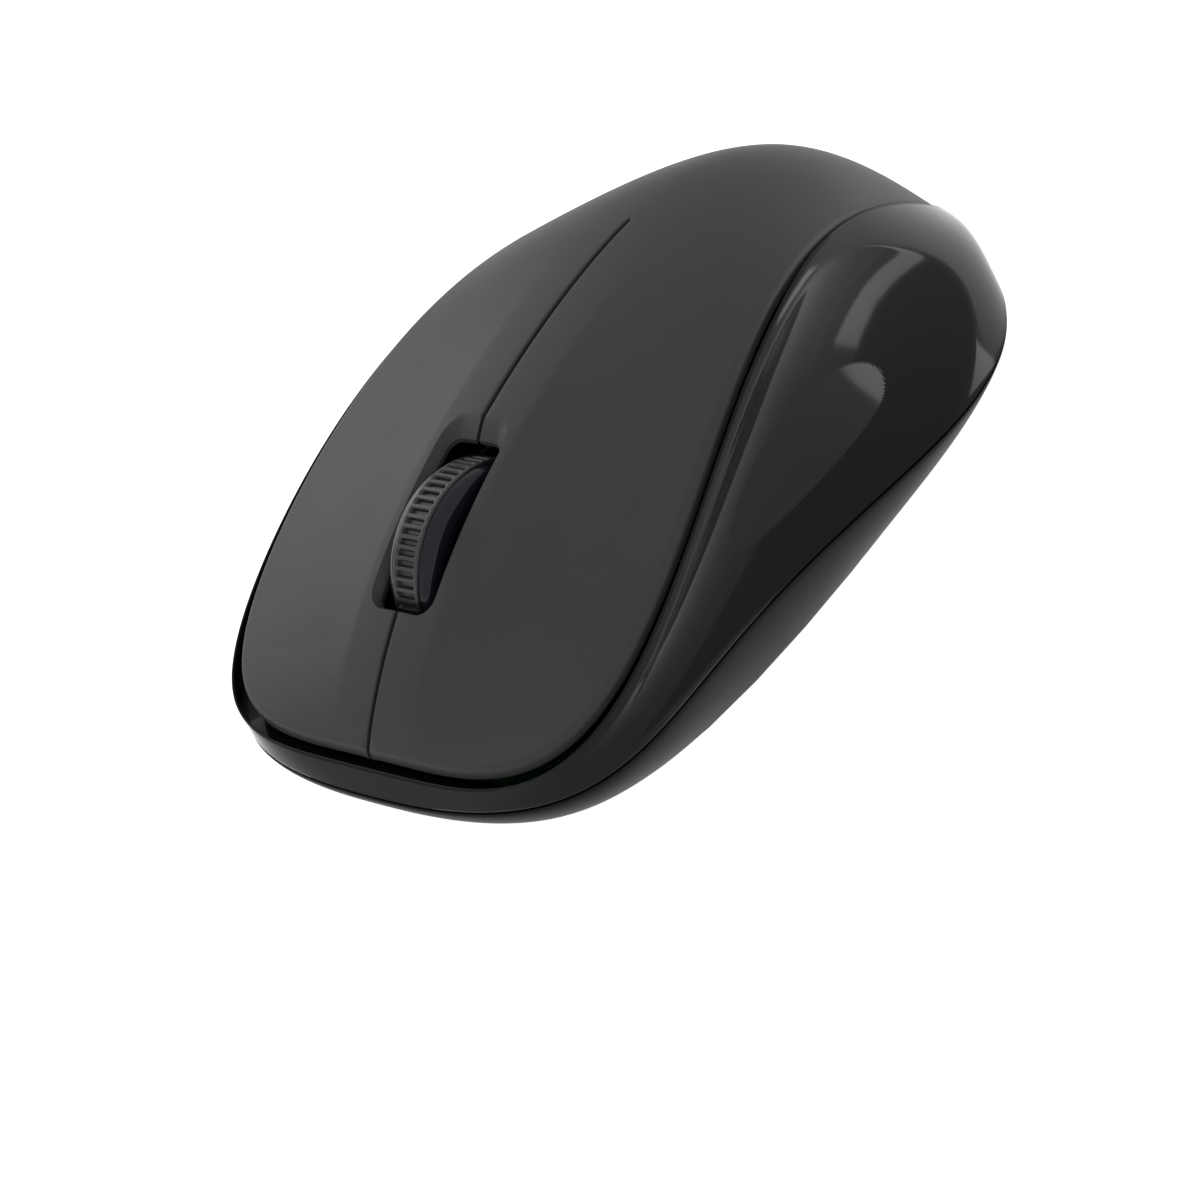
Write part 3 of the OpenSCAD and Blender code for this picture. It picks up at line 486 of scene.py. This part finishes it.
def slot_cutter():
    """Flared cutter for the wheel slot: a dished rim that follows the cover, then straight walls."""
    half_x, y_f, y_r, r = WHEEL_HALF + 0.6, WHEEL.y - WHEEL_R - 0.6, WHEEL.y + 6.4, 1.5
    cy, half_y = (y_f + y_r) / 2, (y_r - y_f) / 2

    def outline(grow, rear, fore):
        pts = []
        for qx, qy, a0 in ((1, 1, 0), (-1, 1, 90), (-1, -1, 180), (1, -1, 270)):
            for k in range(9):
                a = math.radians(a0 + 90 * k / 8)
                ey = rear if qy > 0 else fore
                x = qx * (half_x - r) + (r + grow) * math.cos(a)
                y = cy + qy * (half_y - r) + (r + ey) * math.sin(a)
                pts.append((x, y))
        return pts

    rings = []
    # share of the flare and depth under the cover, from above the cover down to the straight wall
    levels = ((1.0, 2.5), (1.0, 0.0), (0.72, -0.3), (0.42, -0.62), (0.16, -0.95), (0.0, -1.2), (0.0, -8.0))
    for g, depth in levels:
        pts = outline(0.95 * g, 2.1 * g, 0.7 * g)
        ring = []
        for i, (x, y) in enumerate(pts):
            x1, y1 = pts[(i + 1) % len(pts)]
            k = 6 if math.hypot(x1 - x, y1 - y) > 1.5 else 1
            for s in range(k):
                px, py = x + (x1 - x) * s / k, y + (y1 - y) * s / k
                ring.append(Vector((px, py, top(px, py) + depth)))
        rings.append(ring)
    verts, faces = grid(rings, ring=True)
    m = len(rings[0])
    verts.append(sum(rings[0], Vector()) / m * MM)
    verts.append(sum(rings[-1], Vector()) / m * MM)
    a, b = len(verts) - 2, len(verts) - 1
    last = (len(rings) - 1) * m
    for j in range(m):
        faces.append((a, j, (j + 1) % m))
        faces.append((b, last + (j + 1) % m, last + j))
    return verts, faces


def build_cover():
    cutter = make("slot_cutter", *slot_cutter(), MATTE, None)
    cv, cf = cover_half()
    for side, button in ((1, "right_button"), (-1, "left_button")):
        verts = [Vector((side * v.x, v.y, v.z)) for v in cv]
        half = make("cover_right" if side > 0 else "cover_left", verts, cf, MATTE, None)
        mod = half.modifiers.new("slot", "BOOLEAN")
        mod.object, mod.operation, mod.solver = cutter, "DIFFERENCE", "EXACT"
        bake(half)
        finish_shading(half, 32)
        # the halves meet behind the slit, so their normals there stay level across the middle
        me = half.data
        normals = [Vector(c.vector) for c in me.corner_normals]
        for lp in me.loops:
            v = me.vertices[lp.vertex_index].co
            if abs(v.x) < 1e-6 and v.y > (SLIT_END + 0.05) * MM and normals[lp.index].z > 0.3:
                nn = normals[lp.index]
                nn.x = 0
                normals[lp.index] = nn.normalized()
        me.normals_split_custom_set([tuple(x) for x in normals])
        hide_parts(button, "palm_cover")
        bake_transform(half)
    bpy.data.objects.remove(cutter)


build_cover()


# ---- gloss side frame ----
def around(n, edge):
    """Stations up the right side (1) and back on the left (-1)."""
    us = even(edge, n)
    return [(u, 1) for u in us] + [(u, -1) for u in reversed(us[1:-1])]


def frame_row(u):
    """Section of the frame: up the outer wall, over the rim and down into the groove."""
    g, inn = rim_edge(u), inward(u)
    span = g.z - part_edge(u).z - SEAM / 2
    lip = max(0.06, min(0.35, groove_at(u) - 0.3))
    d = 1.6 + ease(u / 0.15) - 0.8 * ease((u - 0.85) / 0.15)
    row = []
    bottom = frame_at(u, 1)
    t_low = 1 - min(0.3, 0.35 / span)
    t_top = min(0.2, 0.35 / span)
    row.append(bottom + inn * 1.8)
    row.append(bottom + inn * 0.35)
    row.append(bottom + inn * 0.1 + Vector((0, 0, 0.03)))
    row.append(bottom + Vector((0, 0, 0.12)) + inn * 0.02)
    for k in range(66):
        row.append(frame_at(u, t_low + (t_top - t_low) * k / 65))
    w = lip / 0.35
    row.append(g + Vector((0, 0, -0.07)) + inn * 0.03 * w)
    row.append(g + inn * 0.12 * w)
    row.append(g + inn * 0.24 * w + Vector((0, 0, -0.02)))
    row.append(g + inn * 0.33 * w + Vector((0, 0, -0.1)))
    p1 = g + inn * lip
    row.append(p1 - Vector((0, 0, 0.3)))
    p2 = p1 - Vector((0, 0, d))
    p3 = p2 + inn * 2.2
    row += [p2, p3, p3 - Vector((0, 0, 0.6 + 0.3 * ease(u / 0.15)))]
    return row


def build_frame():
    rows = [[Vector((s * p.x, p.y, p.z)) for p in frame_row(u)] for u, s in around(360, part_edge)]
    skin = make("frame_skin", *grid(rows, ring=True, loop=True), GLOSS, "base", sharp=50)
    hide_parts("mid_frame")


build_frame()


# ---- satin base: smooth outer wall over the built base, whose own wall is drawn in a little ----
def build_base():
    rows = []
    for u, s in around(200, part_edge):
        inn, b = inward(u), sole_edge(u)
        row = [part_edge(u) - Vector((0, 0, SEAM / 2)) + inn * 1.8]
        row += [base_at(u, 0) + inn * 0.3, base_at(u, 0) + inn * 0.1 - Vector((0, 0, 0.03))]
        row += [base_at(u, 0.03 + 0.94 * k / 22) for k in range(23)]
        row += [b + inn * 0.25 + Vector((0, 0, 0.02)), b + inn * 0.6, b + inn * 1.4]
        rows.append([Vector((s * p.x, p.y, p.z)) for p in row])
    skin = make("base_skin", *grid(rows, loop=True), SATIN, "base", sharp=50)
    core = bpy.data.objects.new("base_core", frame["nodes"]["base_shell"].data.copy())
    bpy.context.collection.objects.link(core)
    for v in core.data.vertices:
        x, y, z = v.co / MM
        if z > FOOT + 0.02:
            f = clamp((y - PART_Y[0]) / (PART_Y[1] - PART_Y[0]))
            reach = abs(x) / max(part_edge(math.acos(1 - 2 * f) / math.pi).x, 0.5)
            k = ease((reach - 0.86) / 0.1)
            k = max(k, ease((abs(y) - 50) / 2))
            v.co.x -= math.copysign(0.5 * k * MM, x)
            v.co.y -= math.copysign(0.5 * ease((abs(y) - 44) / 4) * MM, y)
    core.data.materials.clear()
    core.data.materials.append(SATIN)
    core.data.set_sharp_from_angle(angle=math.radians(30))
    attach(core, "base")
    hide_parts("base_shell")


build_base()


# ---- scroll wheel ----
def build_wheel():
    # half section of the tyre: share of its half width, and depth below the crest (in pockets, of RIB_D)
    half = [(1.0, 0.55), (1.0, 0.12), (0.97, 0.03), (0.92, 0.0), (0.8, 0.0), (0.74, 0.12), (0.7, 0.6),
            (0.64, 1.0), (0.4, 1.0)]
    section = [(-x, rr) for x, rr in half] + [(0, 1.0)] + half[::-1]
    rows = []
    per = 12
    for k in range(RIBS * per):
        a = 2 * math.pi * k / (RIBS * per)
        ph = (k % per) / per
        pocket = ease((ph - 0.36) / 0.16) * ease((1.0 - ph) / 0.16)
        row = [(-TYRE_HALF + 0.1, WHEEL_R - 1.6)]
        for x, rr in section:
            inner = abs(x) < 0.79
            r = WHEEL_R - (RIB_D * rr * pocket if inner else rr)
            row.append((x * TYRE_HALF, r))
        row.append((TYRE_HALF - 0.1, WHEEL_R - 1.6))
        rows.append([(x, r * math.cos(a), r * math.sin(a)) for x, r in row])
    v, f = grid(rows, ring=True, loop=True)
    tyre = make("tyre", shift(v, WHEEL), f, RUBBER, "wheel", sharp=55)
    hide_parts("wheel_tyre")
    for s in (-1, 1):
        prof = [(TYRE_HALF + 0.02, WHEEL_R - 1.4), (TYRE_HALF + 0.05, WHEEL_R - 0.5),
                (TYRE_HALF + 0.12, WHEEL_R - 0.36)]
        r = WHEEL_HALF - TYRE_HALF - 0.12
        for k in range(12):
            a = math.pi / 2 * k / 11
            prof.append((TYRE_HALF + 0.14 + r * math.sin(a), WHEEL_R - 0.32 - r + r * math.cos(a)))
        prof += [(WHEEL_HALF + 0.03, WHEEL_R - 2.4), (WHEEL_HALF, WHEEL_R - 2.9),
                 (WHEEL_HALF - 0.3, WHEEL_R - 3.25), (WHEEL_HALF - 0.9, WHEEL_R - 3.3)]
        v, f = grid(lathe(prof, 160, s), loop=True)
        cheek = make("cheek_right" if s > 0 else "cheek_left", shift(v, WHEEL), f, HUBM, "wheel", sharp=50)


build_wheel()


# ---- cradle spring: the part's coil, copied and set in place ----
def build_coil():
    coil = bpy.data.objects.new("cradle_coil", frame["nodes"]["cradle_spring"].data.copy())
    bpy.context.collection.objects.link(coil)
    coil.matrix_world = frame["nodes"]["cradle_spring"].matrix_world
    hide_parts("cradle_spring")
    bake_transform(coil)


build_coil()


# ---- studio ----
def plane(name, size, z, mat):
    v = [Vector((x * size, y * size, z / MM)) for x, y in ((-1, -1), (1, -1), (1, 1), (-1, 1))]
    return make(name, [p * MM for p in v], [(0, 1, 2, 3)], mat, None)


def area(name, where, target, size_x, size_y, power):
    li = bpy.data.lights.new(name, "AREA")
    li.shape, li.size, li.size_y, li.energy = "RECTANGLE", size_x, size_y, power
    ob = bpy.data.objects.new(name, li)
    bpy.context.collection.objects.link(ob)
    ob.location = where
    ob.rotation_mode = "QUATERNION"
    ob.rotation_quaternion = (Vector(target) - Vector(where)).to_track_quat("-Z", "Y")
    return ob


def build_studio():
    pale = material("studio_floor", (0.5, 0.5, 0.5), 0.9, spec=0.1, mottle=0.01)
    pale.node_tree.nodes["Principled BSDF"].inputs["Emission Color"].default_value = (1, 1, 1, 1)
    pale.node_tree.nodes["Principled BSDF"].inputs["Emission Strength"].default_value = 0.95
    floor = plane("studio_floor", 4000, 0.0, pale)

    world = bpy.data.worlds.new("studio")
    bpy.context.scene.world = world
    world.use_nodes = True
    world.node_tree.nodes["Background"].inputs["Color"].default_value = (1, 1, 1, 1)
    world.node_tree.nodes["Background"].inputs["Strength"].default_value = 0.85

    area("key_left", (-0.85, 0.05, 0.5), (0, 0, 0), 0.7, 0.7, 2.2)
    # a small card behind the tail, for the glint on the rim of the thumb scoop
    card = area("rear_card", (0.0636, 0.108, 0.014), (0.023, 0.008, 0.031), 0.028, 0.012, 0.004)
    card.visible_camera = False


def build_camera():
    """Camera at the viewing angle of the object: azimuth from the nose, elevation and roll."""
    cam_data = bpy.data.cameras.new("camera")
    cam = bpy.data.objects.new("camera", cam_data)
    bpy.context.collection.objects.link(cam)
    az, el, roll = math.radians(51.85), math.radians(31.9), math.radians(-22.88)
    look = Vector((-math.sin(az) * math.cos(el), math.cos(az) * math.cos(el), -math.sin(el)))
    right0 = Vector((math.cos(az), math.sin(az), 0))
    up0 = right0.cross(look)
    right = math.cos(roll) * right0 + math.sin(roll) * up0
    up = -math.sin(roll) * right0 + math.cos(roll) * up0
    turn = Matrix((right, up, -look)).transposed().to_4x4()
    cam.matrix_world = Matrix.Translation((0.2774, -0.2332, 0.2229)) @ turn
    cam_data.lens, cam_data.sensor_width = 106.83, 36
    cam_data.clip_start, cam_data.clip_end = 0.01, 20
    bpy.context.scene.camera = cam


build_studio()
build_camera()
bpy.context.scene.view_settings.view_transform = "Standard"
